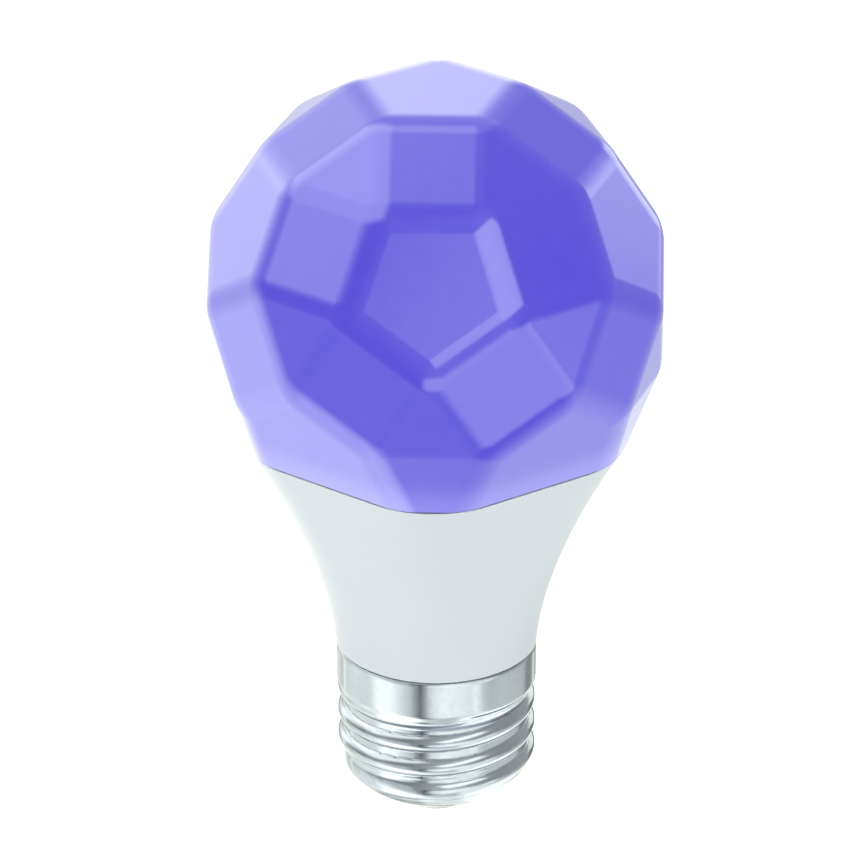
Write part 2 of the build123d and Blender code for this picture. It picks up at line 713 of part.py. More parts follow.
finish(antenna_trace.part, "antenna_trace")

# ---------------------------------------------------------------- leads

with BuildPart() as live_lead:
    with BuildLine() as live_path:
        FilletPolyline(
            (3, BOARD_MIDDLE, BOARD_BOTTOM),
            (3, BOARD_MIDDLE, 8.6),
            (0, 0, 8.4),
            (0, 0, CONTACT_STEM_TOP),
            radius=LEAD_BEND,
        )
    with BuildSketch(Plane(origin=live_path.line @ 0, z_dir=live_path.line % 0)):
        Circle(LEAD_RADIUS)
    sweep()

finish(live_lead.part, "live_lead")

with BuildPart() as neutral_lead:
    with BuildLine() as neutral_path:
        FilletPolyline(
            (-6, BOARD_MIDDLE, BOARD_BOTTOM),
            (-6, BOARD_MIDDLE, 8),
            (0.3 - NECK_RADIUS, BOARD_MIDDLE, 8),
            radius=LEAD_BEND,
        )
    with BuildSketch(Plane(origin=neutral_path.line @ 0, z_dir=neutral_path.line % 0)):
        Circle(LEAD_RADIUS)
    sweep()

finish(neutral_lead.part, "neutral_lead")

# ---------------------------------------------------------------- screw shell

bore_radius = THREAD_ROOT_RADIUS - SHELL_WALL

with BuildPart() as screw_shell:
    with BuildSketch(Plane.XZ):
        with BuildLine():
            shoulder = Spline(
                (SHELL_MOUTH_RADIUS, SHELL_MOUTH_Z),
                (THREAD_ROOT_RADIUS, SHOULDER_TOP),
                tangents=((1, 0.35), (0, 1)),
            )
            Polyline(
                shoulder @ 1,
                (THREAD_ROOT_RADIUS, COLLAR_BOTTOM - COLLAR_STEP),
                (COLLAR_RADIUS, COLLAR_BOTTOM),
                (COLLAR_RADIUS, CAP_HEIGHT),
                (COLLAR_RADIUS - SHELL_WALL, CAP_HEIGHT),
                (COLLAR_RADIUS - SHELL_WALL, COLLAR_BOTTOM + SHELL_WALL / 2),
                (bore_radius, COLLAR_BOTTOM - COLLAR_STEP + SHELL_WALL / 2),
                (bore_radius, SHOULDER_TOP),
            )
            inner_shoulder = Spline(
                (bore_radius, SHOULDER_TOP),
                (SHELL_MOUTH_RADIUS, SHELL_MOUTH_Z + SHELL_WALL),
                tangents=((0, -1), (-1, -0.35)),
            )
            Line(inner_shoulder @ 1, shoulder @ 0)
        make_face()
    revolve(axis=Axis.Z)
    with BuildLine() as crest:
        Helix(
            pitch=THREAD_PITCH,
            height=THREAD_PITCH * THREAD_TURNS,
            radius=THREAD_MAJOR_RADIUS - THREAD_CREST_RADIUS,
            center=(0, 0, THREAD_BOTTOM),
        )
    with BuildSketch(Plane(origin=crest.line @ 0, z_dir=crest.line % 0)):
        Circle(THREAD_CREST_RADIUS)
    sweep(is_frenet=True)
    with BuildSketch(Plane.XY.offset(SHOULDER_TOP)):
        Circle(bore_radius)
    extrude(amount=COLLAR_BOTTOM + COLLAR_STEP - SHOULDER_TOP, mode=Mode.SUBTRACT)

finish(screw_shell.part, "screw_shell")

# ---------------------------------------------------------------- insulator and centre contact

with BuildPart() as cap_insulator:
    with BuildSketch(Plane.XZ):
        with BuildLine():
            Polyline(
                (CONTACT_STEM_RADIUS, CONTACT_HEIGHT),
                (CONTACT_RADIUS + 0.3, CONTACT_HEIGHT),
                (SHELL_MOUTH_RADIUS, SHELL_MOUTH_Z),
                (SHELL_MOUTH_RADIUS, INSULATOR_TOP),
                (CONTACT_STEM_RADIUS, INSULATOR_TOP),
                close=True,
            )
        make_face()
    revolve(axis=Axis.Z)

finish(cap_insulator.part, "cap_insulator")

with BuildPart() as centre_contact:
    with BuildSketch(Plane.XZ):
        with BuildLine():
            Polyline(
                (0, 0),
                (CONTACT_RADIUS, 0),
                (CONTACT_RADIUS, CONTACT_HEIGHT),
                (CONTACT_STEM_RADIUS, CONTACT_HEIGHT),
                (CONTACT_STEM_RADIUS, CONTACT_STEM_TOP),
                (0, CONTACT_STEM_TOP),
                close=True,
            )
        make_face()
    revolve(axis=Axis.Z)
    fillet(centre_contact.edges().group_by(Axis.Z)[0], radius=CONTACT_HEIGHT * 0.6)

finish(centre_contact.part, "centre_contact")
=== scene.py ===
"""Looks for the smart light bulb: lit faceted diffuser, white flared housing and nickel screw cap.

Shapes are worked out in millimetres, about the bulb's axis, and put into Blender in metres.
Azimuth 0 is the front (-Y) and turns towards +X.
"""

import itertools
import math

import bmesh
import bpy
import numpy as np
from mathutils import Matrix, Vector


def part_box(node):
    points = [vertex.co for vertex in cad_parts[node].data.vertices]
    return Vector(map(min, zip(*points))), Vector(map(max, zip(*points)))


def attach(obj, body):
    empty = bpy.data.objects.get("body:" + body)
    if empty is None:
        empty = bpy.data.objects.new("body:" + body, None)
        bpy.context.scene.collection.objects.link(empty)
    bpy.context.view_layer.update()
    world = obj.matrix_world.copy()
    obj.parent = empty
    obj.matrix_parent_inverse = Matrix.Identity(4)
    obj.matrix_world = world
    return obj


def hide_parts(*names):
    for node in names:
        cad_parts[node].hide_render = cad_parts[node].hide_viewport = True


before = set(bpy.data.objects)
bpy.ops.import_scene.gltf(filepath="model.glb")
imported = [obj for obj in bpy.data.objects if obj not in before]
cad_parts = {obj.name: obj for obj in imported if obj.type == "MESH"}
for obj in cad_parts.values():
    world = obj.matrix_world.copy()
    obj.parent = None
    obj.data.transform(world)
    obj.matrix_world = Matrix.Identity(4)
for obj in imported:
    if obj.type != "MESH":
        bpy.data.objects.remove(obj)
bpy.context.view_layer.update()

MM = 0.001
# Degrees from one of the bulb's five sides to the next.
SIDE = 72.0

# ---------------------------------------------------------------- sizes, from the frame


def box_mm(node):
    """Lowest and highest corner of a CAD node, in millimetres."""
    low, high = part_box(node)
    return np.array(low) / MM, np.array(high) / MM


HEAD_TOP = box_mm("diffuser")[1][2]
HOUSING_BOTTOM = box_mm("housing")[0][2]
SEAM_BOTTOM, SEAM_TOP = (corner[2] for corner in box_mm("diffuser_adhesive"))
SEAM_MIDDLE = (SEAM_BOTTOM + SEAM_TOP) / 2
SHELL_BOTTOM, CAP_TOP = (corner[2] for corner in box_mm("screw_shell"))

FACET_EDGE = 10.15
HEAD_ROUNDING = 7.9
HEAD_WALL = 1.5
LOWER_SQUARE_TILT = 31.717474
CORNER_FACET_TILT = 18.7
CORE_FLOOR = -24.0

COLLAR_RADIUS = 13.25
SEAM_INRADIUS = 22.9
SEAM_CORNER_RADIUS = 12.3
HOUSING_WALL = 1.4


def direction(azimuth, elevation):
    """Unit vector that points that way, from degrees."""
    a, e = math.radians(azimuth), math.radians(elevation)
    return np.array([math.sin(a) * math.cos(e), -math.cos(a) * math.cos(e), math.sin(e)])


def smoothstep(t):
    """Eased share of the way from 0 to 1, held at both ends."""
    t = min(max(t, 0.0), 1.0)
    return t * t * (3 - 2 * t)


# ---------------------------------------------------------------- faceted head


def facet_reach(side_count):
    """Distance from the head's centre to the facets of that many sides, before the rounding."""
    corner_distance = math.sqrt(11 + 4 * math.sqrt(5)) / 2
    return FACET_EDGE * math.sqrt(corner_distance**2 - (0.5 / math.sin(math.pi / side_count)) ** 2)


def facet_planes():
    """(normal, distance) of every plane of the head's core, about its centre."""
    ring = math.degrees(math.atan(0.5))
    pentagons = [direction(0, 90)]
    pentagons += [direction(SIDE * k, ring) for k in range(5)]
    pentagons += [direction(SIDE * k + SIDE / 2, -ring) for k in range(5)]
    planes = []
    for size, sides in ((1, 5), (2, 4), (3, 3)):
        for group in itertools.combinations(pentagons, size):
            if any(a @ b < 0.4 for a, b in itertools.combinations(group, 2)):
                continue
            normal = sum(group)
            normal = normal / np.linalg.norm(normal)
            if sides == 4 and normal[2] < -0.1:
                continue
            planes.append((normal, facet_reach(sides)))
    tilt = math.radians(LOWER_SQUARE_TILT)
    edge_reach = facet_reach(4) * math.cos(tilt) + FACET_EDGE / 2 * math.sin(tilt)
    edge_height = FACET_EDGE / 2 * math.cos(tilt) - facet_reach(4) * math.sin(tilt)
    for k in range(5):
        normal = direction(SIDE * k, -CORNER_FACET_TILT)
        point = direction(SIDE * k, 0) * edge_reach + np.array([0, 0, edge_height])
        planes.append((normal, normal @ point))
    planes.append((np.array([0, 0, -1.0]), -CORE_FLOOR))
    return planes


def core_polyhedron(planes):
    """Corners and face loops of the solid inside all planes."""
    normals = np.array([n for n, d in planes])
    distances = np.array([d for n, d in planes])
    triples = np.array(list(itertools.combinations(range(len(planes)), 3)))
    matrices = normals[triples]
    solvable = abs(np.linalg.det(matrices)) > 1e-4
    points = np.linalg.solve(matrices[solvable], distances[triples[solvable]][:, :, None])[:, :, 0]
    corners = []
    for point in points[(points @ normals.T <= distances + 1e-6).all(axis=1)]:
        if not any(np.linalg.norm(point - corner) < 1e-4 for corner in corners):
            corners.append(point)
    corners = np.array(corners)
    loops = []
    for normal, distance in planes:
        on = np.where(abs(corners @ normal - distance) < 1e-4)[0]
        centre = corners[on].mean(0)
        across = corners[on[0]] - centre
        along = np.cross(normal, across)
        angles = np.arctan2((corners[on] - centre) @ along, (corners[on] - centre) @ across)
        loops.append([int(i) for i in on[np.argsort(angles)]])
    return corners, loops, normals


def between(a, b, t):
    """Unit vector a share t of the way from a to b, along the great circle."""
    angle = math.acos(max(-1.0, min(1.0, float(a @ b))))
    if angle < 1e-9:
        return a
    return (math.sin((1 - t) * angle) * a + math.sin(t * angle) * b) / math.sin(angle)


def rolled(corners, loops, normals, radius, steps=10, rings=5):
    """Points, normals and faces of the core with its edges and corners rolled by a ball."""
    points, facing, seen, faces = [], [], {}, []

    def at(corner, normal):
        place = corners[corner] + radius * normal
        key = tuple(np.round(place, 5))
        if key not in seen:
            seen[key] = len(points)
            points.append(place)
            facing.append(normal)
        return seen[key]

    owner = {}
    for face, loop in enumerate(loops):
        faces.append([at(corner, normals[face]) for corner in loop])
        for i, corner in enumerate(loop):
            owner[(corner, loop[(i + 1) % len(loop)])] = face
    for (a, b), face in owner.items():
        if a < b:
            other = owner[(b, a)]
            for s in range(steps):
                m = between(normals[face], normals[other], s / steps)
                n = between(normals[face], normals[other], (s + 1) / steps)
                faces.append([at(b, m), at(a, m), at(a, n), at(b, n)])
    for corner in range(len(corners)):
        face = next(f for f, loop in enumerate(loops) if corner in loop)
        around = []
        while face not in around:
            around.append(face)
            loop = loops[face]
            face = owner[(corner, loop[loop.index(corner) - 1])]
        rim = []
        for i, face in enumerate(around):
            other = around[(i + 1) % len(around)]
            rim += [between(normals[face], normals[other], s / steps) for s in range(steps)]
        centre = sum(rim)
        centre = centre / np.linalg.norm(centre)
        last = None
        for ring in range(1, rings + 1):
            row = [at(corner, between(centre, m, ring / rings)) for m in rim]
            for i in range(len(row)):
                j = (i + 1) % len(row)
                if last is None:
                    faces.append([at(corner, centre), row[i], row[j]])
                else:
                    faces.append([last[i], row[i], row[j], last[j]])
            last = row
    return np.array(points), np.array(facing), faces


def cut_head(bm, layer, radius, height, inward):
    """Adds the rolled head to bm, cut off level at that height, and returns the edges of the cut."""
    points, facing, faces = rolled(*core_polyhedron(facet_planes()), radius)
    points = points + np.array([0, 0, HEAD_CENTRE])
    made = []
    for point, normal in zip(points, facing):
        vert = bm.verts.new(point * MM)
        vert[layer] = -normal if inward else normal
        made.append(vert)
    new_faces = [bm.faces.new([made[i] for i in (reversed(f) if inward else f)]) for f in faces]
    edges = {e for f in new_faces for e in f.edges}
    bmesh.ops.bisect_plane(
        bm, geom=made + list(edges) + new_faces, dist=1e-9,
        plane_co=(0, 0, height * MM), plane_no=(0, 0, 1), clear_inner=True,
    )
    return [e for e in bm.edges if e.is_boundary and abs(e.verts[0].co.z - height * MM) < 1e-7]


def new_piece(name, mesh, slot, *nodes):
    """Links the mesh as a piece that rides on the bulb and stands for the CAD nodes."""
    piece = bpy.data.objects.new(name, mesh)
    bpy.context.scene.collection.objects.link(piece)
    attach(piece, "root")
    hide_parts(*nodes)
    return piece


HEAD_CENTRE = HEAD_TOP - facet_reach(5) - HEAD_ROUNDING
# The rim below the seam, from the outer edge inwards: how far in, and how far above the seam.
RIM_STEPS = ((1.55, 0.0), (1.6, -0.1), (1.65, -2.2), (1.85, -2.3), (2.65, -2.3), (2.85, -2.1), (2.85, 1.2))


# A face is part of the lit shell, not of the rim, if its own normal is this near the rolled ones.
SHELL_AGREEMENT = 0.9


def make_diffuser():
    """The lit head: an even wall, and a rim below the seam that plugs into the housing."""
    bm = bmesh.new()
    layer = bm.verts.layers.float_vector.new("facing")
    edges = cut_head(bm, layer, HEAD_ROUNDING, SEAM_TOP, inward=False)
    last_inset = 0.0
    for inset, rise in RIM_STEPS:
        made = bmesh.ops.extrude_edge_only(bm, edges=edges)["geom"]
        step_in = inset - last_inset
        last_inset = inset
        for vert in (v for v in made if isinstance(v, bmesh.types.BMVert)):
            reach = math.hypot(vert.co.x, vert.co.y)
            vert.co.x *= 1 - step_in * MM / reach
            vert.co.y *= 1 - step_in * MM / reach
            vert.co.z = (SEAM_TOP + rise) * MM
            vert[layer] = (0, 0, 0)
        edges = [e for e in made if isinstance(e, bmesh.types.BMEdge)]
    inner_height = SEAM_TOP + RIM_STEPS[-1][1]
    inner_cut = cut_head(bm, layer, HEAD_ROUNDING - HEAD_WALL, inner_height, inward=True)
    bmesh.ops.bridge_loops(bm, edges=edges + [e for e in inner_cut if e not in edges])
    bmesh.ops.recalc_face_normals(bm, faces=bm.faces)
    bm.normal_update()
    for face in bm.faces:
        face.smooth = all(face.normal.dot(v[layer]) > SHELL_AGREEMENT for v in face.verts)
        # Rim faces take the second slot, painted dark grey-violet: painted shade for the shadow gap along the
        # seam.
        face.material_index = 0 if face.smooth else 1
    mesh = bpy.data.meshes.new("Diffuser_Head")
    bm.to_mesh(mesh)
    bm.free()
    facing = mesh.attributes["facing"].data
    normals = []
    for polygon in mesh.polygons:
        for index in polygon.loop_indices:
            normal = Vector(facing[mesh.loops[index].vertex_index].vector)
            known = polygon.use_smooth and normal.length > 0.5
            normals.append(normal.normalized() if known else (0, 0, 0))
    mesh.normals_split_custom_set(normals)
    mesh.attributes.remove(mesh.attributes["facing"])
    return new_piece("Diffuser_Head", mesh, "diffuser_plastic", "diffuser")


# ---------------------------------------------------------------- stacks of level rings

ARC_STEPS = 26
FLAT_STEPS = 4


def five_sided_ring(height, inradius, corner_radius):
    """Level ring of points: a pentagon with round corners, one at the front. A circle if they meet."""
    offset = (inradius - corner_radius) / math.cos(math.radians(SIDE / 2))
    ring = []
    for corner in range(5):
        middle = direction(SIDE * corner, 0) * offset
        arc = [
            middle + corner_radius * direction(SIDE * corner - SIDE / 2 + SIDE * s / ARC_STEPS, 0)
            for s in range(ARC_STEPS + 1)
        ]
        following = direction(SIDE * (corner + 1), 0) * offset
        start = following + corner_radius * direction(SIDE * (corner + 0.5), 0)
        flat = [arc[-1] + (start - arc[-1]) * s / FLAT_STEPS for s in range(1, FLAT_STEPS)]
        ring += arc + flat
    ring = np.array(ring)
    ring[:, 2] = height
    return ring


def round_ring(height, radius):
    """Level ring with as many points as a five-sided one, evenly spread round a circle."""
    count = 5 * (ARC_STEPS + FLAT_STEPS)
    ring = [direction(360 * s / count - SIDE / 2, 0) * radius for s in range(count)]
    ring = np.array(ring)
    ring[:, 2] = height
    return ring


def closed_stack(name, rings, sharp_angle):
    """A closed skin through the rings in turn, and from the last ring back to the first."""
    bm = bmesh.new()
    rows = [[bm.verts.new(point * MM) for point in ring] for ring in rings]
    count = len(rows[0])
    for row, following in zip(rows, rows[1:] + rows[:1]):
        for i in range(count):
            j = (i + 1) % count
            bm.faces.new((row[i], row[j], following[j], following[i]))
    bmesh.ops.recalc_face_normals(bm, faces=bm.faces)
    for face in bm.faces:
        face.smooth = True
    mesh = bpy.data.meshes.new(name)
    bm.to_mesh(mesh)
    bm.free()
    mesh.set_sharp_from_angle(angle=math.radians(sharp_angle))
    return mesh


# ---------------------------------------------------------------- housing

FLARE_START_SLOPE = 0.1
FLARE_END_SLOPE = 0.5
CORNER_GROWTH = 1.5
SMALLEST_CORNER_OFFSET = 0.4
NECK_RADIUS = 11.5
NECK_BAND_RADIUS = 12.85
NECK_BAND_BOTTOM = 19.4
NECK_BORE = 10.3
LEDGE_Z = 26.0
LIP_ROUNDING = 0.12
LIP_DROP = 0.1
FOOT_ROUNDING = 0.22


def flare_ring(height, inset):
    """Ring of the housing at that height, moved in by the inset."""
    rise = SEAM_MIDDLE - CAP_TOP
    along = (height - CAP_TOP) / rise
    inradius = COLLAR_RADIUS * (1 - along) ** 2 * (1 + 2 * along)
    inradius += FLARE_START_SLOPE * rise * along * (1 - along) ** 2
    inradius += SEAM_INRADIUS * along**2 * (3 - 2 * along)
    inradius += FLARE_END_SLOPE * rise * along**2 * (along - 1)
    cosine = math.cos(math.radians(SIDE / 2))
    widest = (SEAM_INRADIUS - SEAM_CORNER_RADIUS) / cosine
    offset = max(widest * max(along, 0) ** CORNER_GROWTH, SMALLEST_CORNER_OFFSET)
    return five_sided_ring(height, inradius - inset, inradius - offset * cosine - inset)


def rounded_end(height, radius, upward):
    """(height, inset) of a quarter-round edge, from the wall to the end face."""
    steps = [math.radians(90 * s / 5) for s in range(6)]
    return [(height + upward * radius * (math.sin(a) - 1), radius * (1 - math.cos(a))) for a in steps]


def make_housing():
    """The housing: flare outside, ledge and neck inside, a band inside the cap's collar."""
    lip_top = SEAM_BOTTOM - LIP_DROP
    levels = np.linspace(CAP_TOP + FOOT_ROUNDING, lip_top - LIP_ROUNDING, 40)
    rings = [flare_ring(z, inset) for z, inset in reversed(rounded_end(CAP_TOP, FOOT_ROUNDING, -1))]
    rings += [flare_ring(z, 0) for z in levels[1:-1]]
    rings += [flare_ring(z, inset) for z, inset in rounded_end(lip_top, LIP_ROUNDING, 1)]
    rings += [flare_ring(z, HOUSING_WALL) for z in np.linspace(lip_top, LEDGE_Z, 16)]
    rings.append(round_ring(LEDGE_Z, NECK_BORE))
    rings += [round_ring(z, NECK_BORE) for z in np.linspace(LEDGE_Z - 1, HOUSING_BOTTOM, 6)]
    rings += [round_ring(z, NECK_RADIUS) for z in np.linspace(HOUSING_BOTTOM, NECK_BAND_BOTTOM, 6)]
    rings += [round_ring(z, NECK_BAND_RADIUS) for z in (NECK_BAND_BOTTOM, CAP_TOP - 0.02)]
    mesh = closed_stack("Housing_Flare", rings, 50)
    return new_piece("Housing_Flare", mesh, "housing_plastic", "housing")


# ---------------------------------------------------------------- screw cap

THREAD_PITCH = 3.629
THREAD_ROOT = 12.2
THREAD_MAJOR = 13.1
CREST_RADIUS = 1.25
THREAD_START_Z = 8.1
THREAD_TURNS = 2.75
THREAD_RUN_IN = 0.55
THREAD_RUN_OUT = 0.22
GROOVE_BLEND = 0.8
SHELL_WALL = 0.3
SHOULDER_TOP = 6.4
SHOULDER_PULLS = ((4.2, 1.1), (0.0, 4.2))
MOUTH_RADIUS = 8.8
COLLAR_BOTTOM = 18.8
COLLAR_TOP = CAP_TOP - 0.16
COLLAR_STEP = 1.0
COLLAR_FLARE = 0.55
COLLAR_FLARE_BOTTOM = 15.9
SHELL_POINTS = 300
SHOULDER_ROWS = 40
WALL_ROWS = 112
STEP_ROWS = 10


def ridge_height(turn_angle, z):
    """How far the rolled thread stands out from the root at an angle (0 to 1 turn) and height."""
    turn = turn_angle + round((z - THREAD_START_Z) / THREAD_PITCH - turn_angle)
    away = z - THREAD_START_Z - THREAD_PITCH * turn
    if not -THREAD_RUN_IN < turn < THREAD_TURNS + THREAD_RUN_OUT:
        return 0.0
    rise = THREAD_MAJOR - CREST_RADIUS - THREAD_ROOT
    rise += math.sqrt(max(CREST_RADIUS**2 - away * away, 0.0))
    spread = max(GROOVE_BLEND - abs(rise), 0.0) / GROOVE_BLEND
    rise = max(rise, 0.0) + spread * spread * GROOVE_BLEND / 4
    fade_in = smoothstep((turn + THREAD_RUN_IN) / THREAD_RUN_IN)
    fade_out = smoothstep((THREAD_TURNS + THREAD_RUN_OUT - turn) / THREAD_RUN_OUT)
    return rise * fade_in * fade_out


def wall_radius(z):
    """Radius of the wall between the ridges, which widens towards the collar."""
    flare_height = COLLAR_BOTTOM - COLLAR_STEP - COLLAR_FLARE_BOTTOM
    return THREAD_ROOT + COLLAR_FLARE * smoothstep((z - COLLAR_FLARE_BOTTOM) / flare_height)


def shoulder(height_share, inset):
    """Point of the cap's lower shoulder: a curve from the mouth up to the thread's root."""
    t = height_share
    start, end = (MOUTH_RADIUS, SHELL_BOTTOM + inset), (THREAD_ROOT - inset, SHOULDER_TOP)
    pull_start, pull_end = SHOULDER_PULLS
    weights = (2 * t**3 - 3 * t**2 + 1, t**3 - 2 * t**2 + t, 3 * t**2 - 2 * t**3, t**3 - t**2)
    parts = list(zip(start, pull_start, end, pull_end))
    return tuple(sum(w * p for w, p in zip(weights, part)) for part in parts)


def make_screw_cap():
    """The cap as one pressed sheet: shoulder, rolled thread, step and collar."""
    angles = [s / SHELL_POINTS for s in range(SHELL_POINTS)]
    unit = np.array([[math.cos(2 * math.pi * a), math.sin(2 * math.pi * a), 0] for a in angles])
    step_bottom = COLLAR_BOTTOM - COLLAR_STEP

    def ring(radius, z):
        return unit * np.reshape(radius, (-1, 1)) + np.array([0, 0, z])

    def skin(inset):
        rows = []
        for radius, z in (shoulder(t, inset) for t in np.linspace(0, 1, SHOULDER_ROWS)[:-1]):
            rows.append(ring([radius + ridge_height(a, z) for a in angles], z))
        for z in np.linspace(SHOULDER_TOP, step_bottom, WALL_ROWS):
            reach = np.array([max(THREAD_ROOT + ridge_height(a, z), wall_radius(z)) - inset for a in angles])
            rows.append(ring(reach, z))
        for t in np.linspace(0, 1, STEP_ROWS)[1:]:
            widening = (COLLAR_RADIUS - inset - reach) * smoothstep(t)
            rows.append(ring(reach + widening, step_bottom + COLLAR_STEP * t))
        return rows

    collar_levels = np.linspace(COLLAR_BOTTOM + 0.3, COLLAR_TOP - 0.15, 12)
    outside = skin(0.0) + [ring(COLLAR_RADIUS, z) for z in collar_levels]
    outside += [ring(COLLAR_RADIUS - 0.04, COLLAR_TOP - 0.04), ring(COLLAR_RADIUS - 0.13, COLLAR_TOP)]
    inside = skin(SHELL_WALL)
    inside += [ring(COLLAR_RADIUS - SHELL_WALL, z) for z in (COLLAR_BOTTOM + 1, COLLAR_TOP)]
    mesh = closed_stack("Screw_Cap", outside + inside[::-1], 60)
    return new_piece("Screw_Cap", mesh, "nickel_plate", "screw_shell")


# ---------------------------------------------------------------- materials


class Nodes:
    """Short calls for building a material out of nodes."""

    def __init__(self, tree):
        self.tree = tree

    def add(self, kind, inputs=(), **settings):
        node = self.tree.nodes.new(kind)
        for name, value in settings.items():
            setattr(node, name, value)
        for name, value in dict(inputs).items():
            if isinstance(value, bpy.types.NodeSocket):
                self.tree.links.new(value, node.inputs[name])
            else:
                node.inputs[name].default_value = value
        return node

    def math(self, operation, a, b=0.0, c=0.0):
        return self.add("ShaderNodeMath", {0: a, 1: b, 2: c}, operation=operation).outputs[0]

    def remap(self, value, from_low, from_high, low, high, smooth=False):
        settings = {"interpolation_type": "SMOOTHSTEP"} if smooth else {}
        inputs = {"Value": value, "From Min": from_low, "From Max": from_high, "To Min": low, "To Max": high}
        return self.add("ShaderNodeMapRange", inputs, **settings).outputs[0]

    def noise(self, where, scale, detail=3.0, roughness=0.55):
        inputs = {"Vector": where, "Scale": scale, "Detail": detail, "Roughness": roughness}
        return self.add("ShaderNodeTexNoise", inputs).outputs["Fac"]

    def relief(self, height, strength, distance):
        inputs = {"Strength": strength, "Distance": distance, "Height": height}
        return self.add("ShaderNodeBump", inputs).outputs[0]

    def mix(self, share, a, b):
        node = self.add("ShaderNodeMix", data_type="RGBA", blend_type="MIX")
        for socket, value in ((node.inputs[0], share), (node.inputs[6], a), (node.inputs[7], b)):
            if isinstance(value, bpy.types.NodeSocket):
                self.tree.links.new(value, socket)
            else:
                socket.default_value = value
        return node.outputs[2]


def rgba(colour):
    """The colour as an opaque one."""
    return (*colour, 1.0)


def start_material(name):
    """An empty material, its node builder, its surface shader and the place on the object."""
    material = bpy.data.materials.new(name)
    material.use_nodes = True
    material.node_tree.nodes.clear()
    n = Nodes(material.node_tree)
    surface = n.add("ShaderNodeBsdfPrincipled")
    n.add("ShaderNodeOutputMaterial", {"Surface": surface.outputs[0]})
    place = n.add("ShaderNodeTexCoord").outputs["Object"]
    return material, n, surface, place


def wire(n, surface, **inputs):
    """Sets or links inputs of the surface shader, named with _ for each space."""
    for name, value in inputs.items():
        socket = surface.inputs[name.replace("_", " ")]
        if isinstance(value, bpy.types.NodeSocket):
            n.tree.links.new(value, socket)
        else:
            socket.default_value = value


def textured(
    name, dark, light, grain, rough, metallic=0.0, bump=0.05, stretch=(1, 1, 1), coat=0.0, spots=0.0,
):
    """A surface whose colour, roughness and relief vary with a fine grain and broad mottling.

    Grain is the size of the finest texture in millimetres; stretch draws it out along an axis.
    """
    material, n, surface, place = start_material(name)
    drawn = n.add("ShaderNodeMapping", {"Vector": place, "Scale": stretch}).outputs[0]
    fine = n.noise(drawn, 1 / (grain * MM), 4.0)
    broad = n.noise(place, 1 / (12 * grain * MM), 2.0)
    blend = n.math("MULTIPLY_ADD", fine, 0.6, n.math("MULTIPLY", broad, 0.4))
    colour = n.mix(n.remap(blend, 0.3, 0.7, 0.0, 1.0), rgba(dark), rgba(light))
    if spots:
        dots = n.add("ShaderNodeTexVoronoi", {"Vector": place, "Scale": 0.6 / (grain * MM)})
        cells = dots.outputs["Distance"]
        colour = n.mix(n.remap(cells, 0.1, 0.35, spots, 0.0), colour, rgba(light))
    relief = n.relief(fine, bump, grain * MM)
    wire(
        n, surface, Base_Color=colour, Metallic=metallic, Normal=relief,
        Roughness=n.remap(blend, 0.3, 0.7, rough * 0.85, rough * 1.15), Coat_Weight=coat,
    )
    return material


def banded(name, dark, light, pitch, axis, rough, metallic=0.0, bump=0.4):
    """Windings, tape or fins: rounded bands of that pitch in millimetres along an axis."""
    material, n, surface, place = start_material(name)
    bands = {"Vector": place, "Scale": 0.314 / (pitch * MM), "Distortion": 0.6, "Detail": 1.0}
    wave = n.add("ShaderNodeTexWave", bands, bands_direction=axis).outputs["Fac"]
    fine = n.noise(place, 1 / (0.3 * pitch * MM))
    share = n.remap(n.math("MULTIPLY_ADD", fine, 0.3, wave), 0.1, 1.1, 0.0, 1.0)
    colour = n.mix(share, rgba(dark), rgba(light))
    relief = n.relief(wave, bump, 0.3 * pitch * MM)
    wire(
        n, surface, Base_Color=colour, Metallic=metallic, Normal=relief,
        Roughness=n.remap(fine, 0.3, 0.7, rough * 0.85, rough * 1.15),
    )
    return material


def lit_diffuser():
    """Violet light through glossy opal plastic, evener in the middle of the head than at the seam, where a
    paler glow is painted light.
    """
    material, n, surface, place = start_material("Lit_Opal_Plastic")
    height = n.add("ShaderNodeSeparateXYZ", {"Vector": place}).outputs["Z"]
    cloud = n.noise(place, 55.0, 2.0)
    mottle = n.noise(place, 420.0, 3.0)
    grain = n.noise(place, 5200.0, 2.0)
    # Paler, brighter glow towards the seam: painted light for the bright grazing edge of the head.
    painted_light_near_seam = n.remap(height, (SEAM_TOP + 6) * MM, SEAM_TOP * MM, 0.0, 1.0, smooth=True)
    glow = n.mix(painted_light_near_seam, rgba((0.050, 0.028, 0.64)), rgba((0.17, 0.15, 0.78)))
    glow = n.mix(n.remap(cloud, 0.35, 0.65, 0.0, 0.12), glow, rgba((0.12, 0.10, 0.70)))
    glow = n.mix(n.remap(mottle, 0.3, 0.7, 0.0, 0.05), glow, rgba((0.16, 0.14, 0.74)))
    relief = n.relief(grain, 0.02, 0.00004)
    wire(
        n, surface, Base_Color=rgba((0.03, 0.024, 0.08)), Emission_Color=glow, Emission_Strength=1.0,
        Roughness=0.5, Specular_IOR_Level=0.0, Coat_Weight=1.0, Coat_IOR=1.8, Coat_Normal=relief,
        Coat_Roughness=n.remap(mottle, 0.3, 0.7, 0.08, 0.12),
    )
    return material


def housing_plastic():
    """Satin white moulded plastic, faintly cool, with a very fine grain."""
    material, n, surface, place = start_material("Housing_White_Plastic")
    cloud = n.noise(place, 60.0, 2.0)
    grain = n.noise(place, 3800.0, 3.0)
    colour = n.mix(n.remap(cloud, 0.3, 0.7, 0.0, 1.0), rgba((0.78, 0.785, 0.79)), rgba((0.80, 0.805, 0.81)))
    colour = n.mix(n.remap(grain, 0.35, 0.65, 0.0, 0.25), colour, rgba((0.84, 0.845, 0.85)))
    relief = n.relief(grain, 0.05, 0.00005)
    wire(
        n, surface, Base_Color=colour, Roughness=n.remap(cloud, 0.3, 0.7, 0.30, 0.38),
        IOR=1.48, Normal=relief, Specular_IOR_Level=0.08,
    )
    return material


